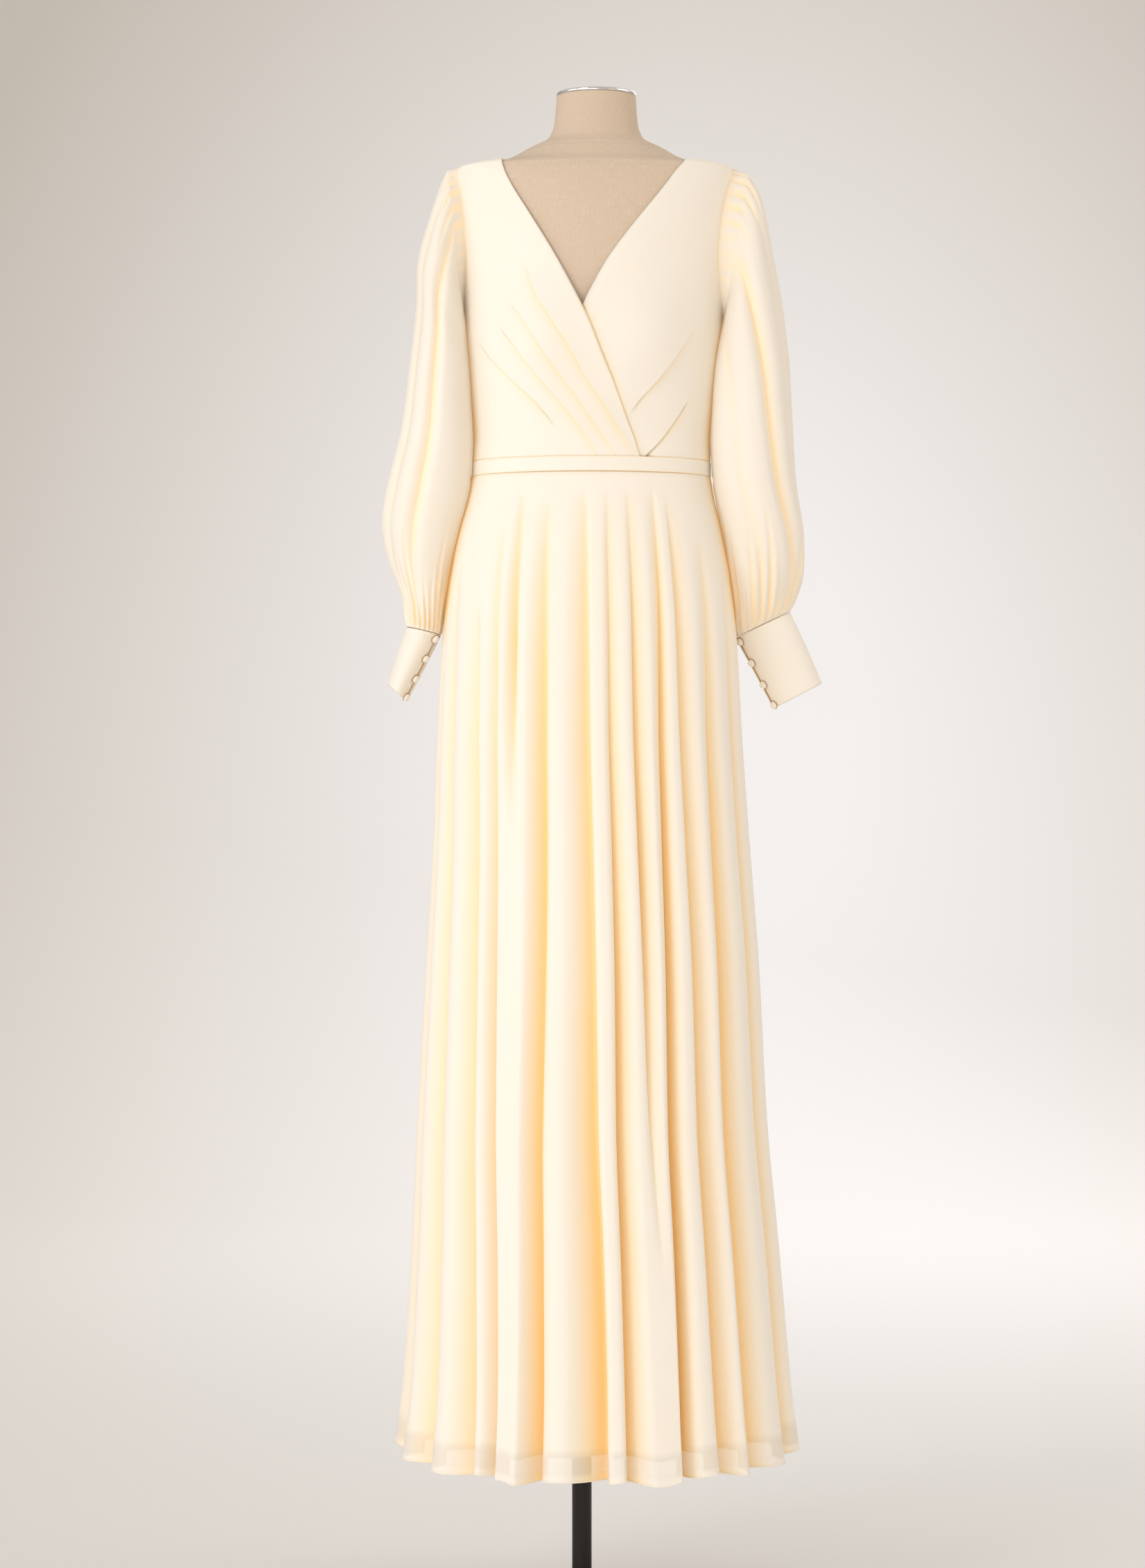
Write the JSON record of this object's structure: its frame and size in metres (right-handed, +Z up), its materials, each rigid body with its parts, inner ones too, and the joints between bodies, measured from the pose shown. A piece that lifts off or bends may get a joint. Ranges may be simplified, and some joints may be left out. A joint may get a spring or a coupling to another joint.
{
  "type": "maxi dress on dress form",
  "caption": "Long-sleeved cream chiffon maxi dress with a crossed V front, waistband and fluted floor-length skirt, on a limbless linen dress form with pole and base.",
  "frame": {"origin": "centre of the base disc's underside, on the pole's axis", "axes": "+Z up, the front of the dress faces -Y, +X to the right as seen from the front"},
  "size_m": [0.51, 0.5039, 1.7573],
  "materials": {
    "chiffon": "cream polyester chiffon, matt, a little sheer",
    "lining": "smooth woven lining",
    "button": "cloth-covered dome",
    "zip": "cream lacquer",
    "linen": "plain-woven linen over a hard shell",
    "chrome": "polished",
    "black_metal": "black semi-matt powder coat"
  },
  "bodies": {
    "dress_and_form": {"bodice_front_over": "chiffon", "bodice_front_under": "chiffon", "bodice_back_right": "chiffon", "bodice_back_left": "chiffon", "waistband_front": "chiffon", "waistband_back_right": "chiffon", "waistband_back_left": "chiffon", "skirt_front": "chiffon", "skirt_back_right": "chiffon", "skirt_back_left": "chiffon", "sleeve_right": "chiffon", "cuff_right": "chiffon", "sleeve_left": "chiffon", "cuff_left": "chiffon", "skirt_lining": "lining", "cuff_button_right_1": "button", "cuff_button_right_2": "button", "cuff_button_right_3": "button", "cuff_button_right_4": "button", "cuff_button_left_1": "button", "cuff_button_left_2": "button", "cuff_button_left_3": "button", "cuff_button_left_4": "button", "zip_slider": "zip", "form_torso": "linen", "neck_cap": "chrome", "form_plate": "black_metal", "pole": "black_metal", "base_hub": "black_metal", "base_disc": "black_metal"},
    "zip_pull": {"zip_pull_tab": "zip"}
  },
  "joints": [
    {"name": "zip_pull_swing", "type": "hinge", "parent": "dress_and_form", "child": "zip_pull", "pos_m": [0.014, 0.1053, 1.592], "axis": [1, 0, 0], "range_deg": [0, 150]}
  ]
}
